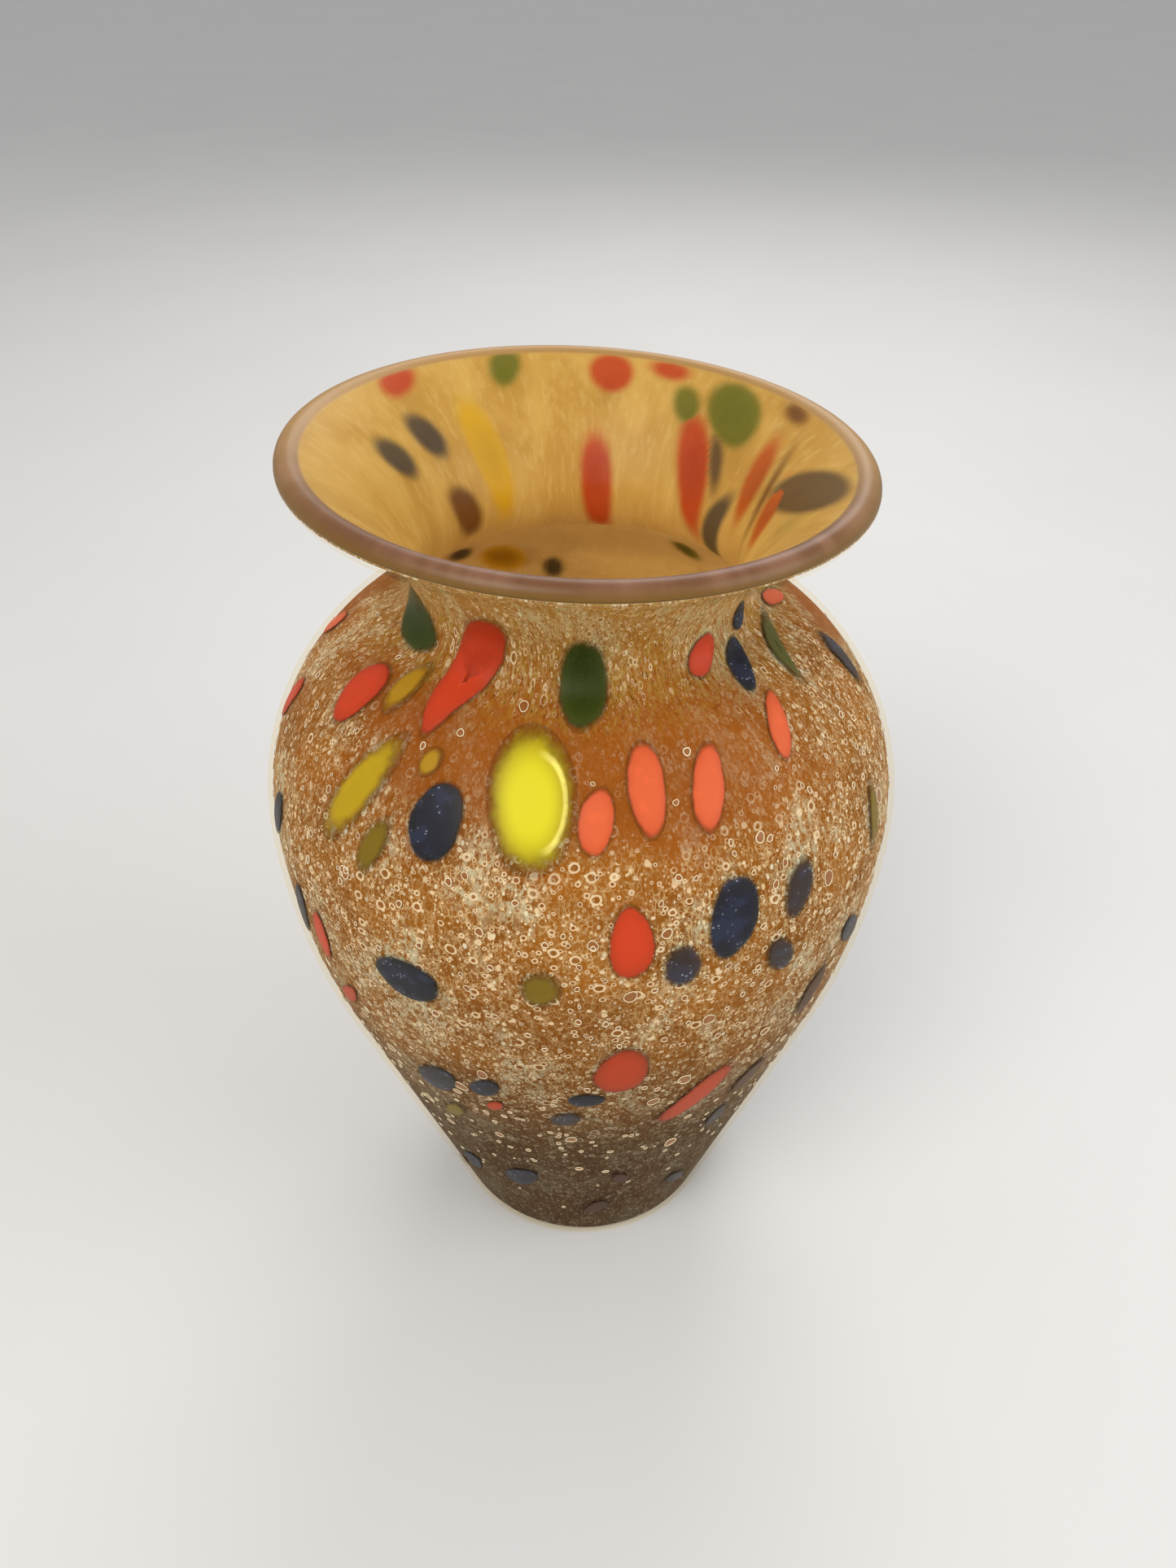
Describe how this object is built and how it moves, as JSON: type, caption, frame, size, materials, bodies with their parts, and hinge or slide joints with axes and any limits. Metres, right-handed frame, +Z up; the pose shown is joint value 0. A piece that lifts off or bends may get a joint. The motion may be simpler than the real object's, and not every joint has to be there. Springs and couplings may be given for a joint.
{
  "type": "art glass vase",
  "caption": "Baluster vase with a narrow neck and flared lip, blown in layers: amber core, bubbly frit, coloured oval chips and a clear satin overlay.",
  "frame": {"origin": "centre of the foot, on the surface it stands on", "axes": "+Z up along the axis of revolution, -Y towards the side shown in the picture"},
  "size_m": [0.185, 0.185, 0.2794],
  "materials": {
    "amber_glass": "satin, translucent",
    "frit_glass": "satin, bubbly",
    "clear_casing": "acid-etched satin",
    "yellow_glass": "satin",
    "olive_glass": "satin",
    "green_glass": "satin",
    "navy_glass": "satin",
    "slate_glass": "satin",
    "maroon_glass": "satin",
    "orange_glass": "satin",
    "red_glass": "satin"
  },
  "bodies": {
    "root": {"chip_amber_faint": "yellow_glass", "chip_brown_low": "maroon_glass", "chip_green_centre": "green_glass", "chip_green_neck_left": "green_glass", "chip_green_streak": "green_glass", "chip_maroon_low": "maroon_glass", "chip_maroon_right_edge": "maroon_glass", "chip_navy_dark_right": "navy_glass", "chip_navy_foot_left": "navy_glass", "chip_navy_foot_left_2": "navy_glass", "chip_navy_large_right": "navy_glass", "chip_navy_left": "navy_glass", "chip_navy_left_edge": "navy_glass", "chip_navy_left_low": "navy_glass", "chip_navy_low_flat": "navy_glass", "chip_navy_low_left": "navy_glass", "chip_navy_neck": "navy_glass", "chip_navy_right_edge": "navy_glass", "chip_navy_right_upper": "navy_glass", "chip_olive_left": "olive_glass", "chip_olive_low": "olive_glass", "chip_olive_low_left": "olive_glass", "chip_olive_right_edge": "olive_glass", "chip_orange_left_low": "orange_glass", "chip_orange_low": "orange_glass", "chip_pink_right": "red_glass", "chip_pink_shoulder_left": "red_glass", "chip_red_centre": "red_glass", "chip_red_foot": "red_glass", "chip_red_large": "red_glass", "chip_red_left": "red_glass", "chip_red_left_edge": "red_glass", "chip_red_left_low": "red_glass", "chip_red_low_long": "red_glass", "chip_red_middle": "red_glass", "chip_red_middle_right": "red_glass", "chip_red_pear": "red_glass", "chip_red_right_long": "red_glass", "chip_red_small_right": "red_glass", "chip_slate_low_flat": "slate_glass", "chip_slate_low_right": "slate_glass", "chip_slate_right": "slate_glass", "chip_slate_small_right": "slate_glass", "chip_yellow_large": "yellow_glass", "chip_yellow_long": "yellow_glass", "chips_back_green": "green_glass", "chips_back_navy": "navy_glass", "chips_back_red": "red_glass", "chips_back_yellow": "yellow_glass", "chips_foot_small": "slate_glass", "chips_lip_green": "green_glass", "chips_lip_navy": "navy_glass", "chips_lip_red": "red_glass", "chips_lip_yellow": "yellow_glass", "frit_layer": "frit_glass", "inner_gather": "amber_glass", "outer_casing": "clear_casing"}
  },
  "joints": []
}
